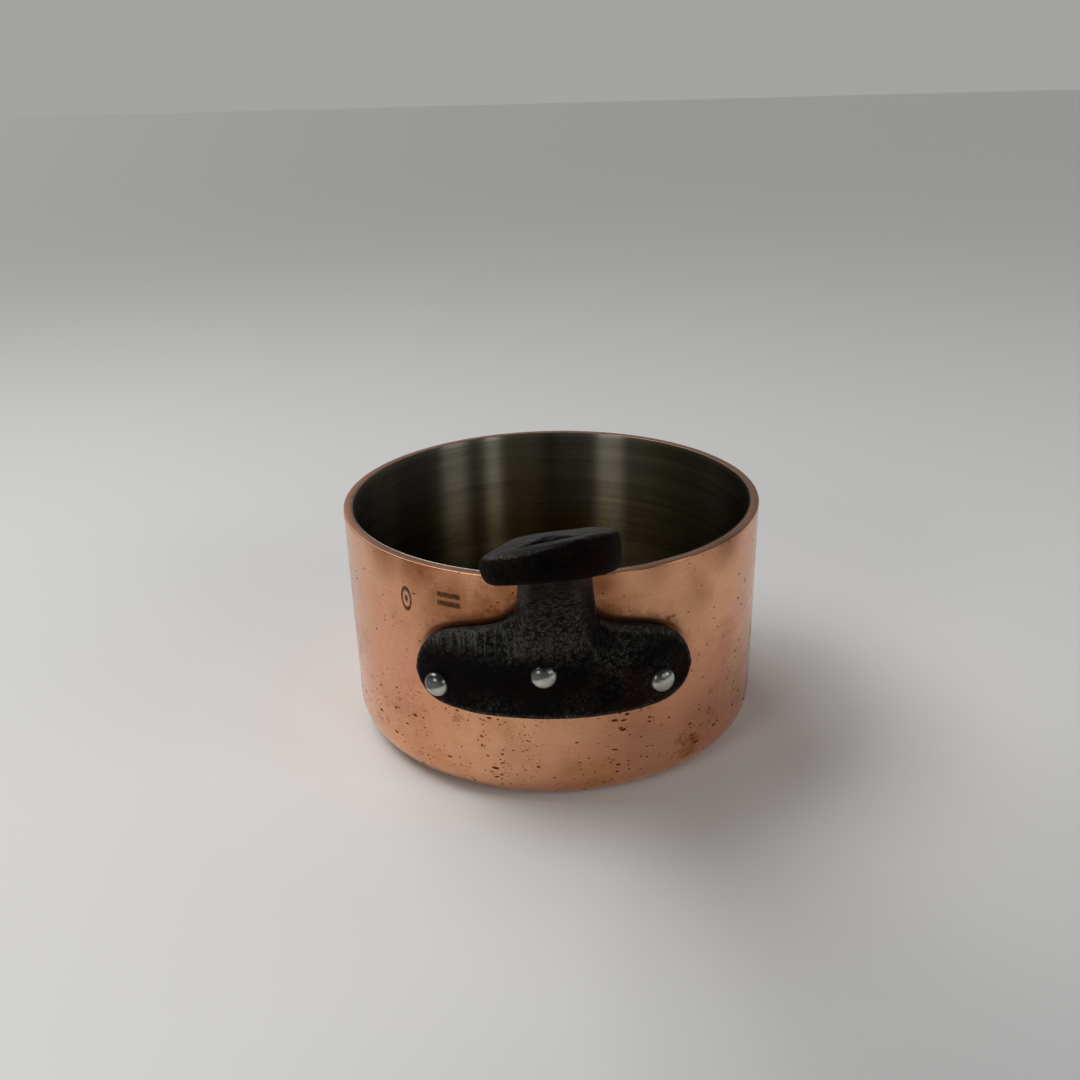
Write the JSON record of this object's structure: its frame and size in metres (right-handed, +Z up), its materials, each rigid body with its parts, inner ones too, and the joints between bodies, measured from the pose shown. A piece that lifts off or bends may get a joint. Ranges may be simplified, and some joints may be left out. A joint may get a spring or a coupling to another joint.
{
  "type": "saucepan",
  "caption": "Small heavy saucepan: round copper body with a bonded steel lining and a long cast-iron handle riveted to the wall, with a hanging hole in its end.",
  "frame": {"origin": "centre of the flat underside of the base, where the pan rests", "axes": "+Z up along the pan's axis, handle towards -Y, +X to the right seen from the handle's end"},
  "size_m": [0.145, 0.2834, 0.1496],
  "materials": {
    "copper": "satin polished copper, pitted and stained with use",
    "lining_steel": "brushed round the pan, darkened with use",
    "cast_iron": "black sand-cast surface, scuffed",
    "rivet_steel": "bright, lightly worn"
  },
  "bodies": {
    "root": {"copper_body": "copper", "steel_lining": "lining_steel", "handle": "cast_iron", "rivet_left": "rivet_steel", "rivet_centre": "rivet_steel", "rivet_right": "rivet_steel"}
  },
  "joints": []
}
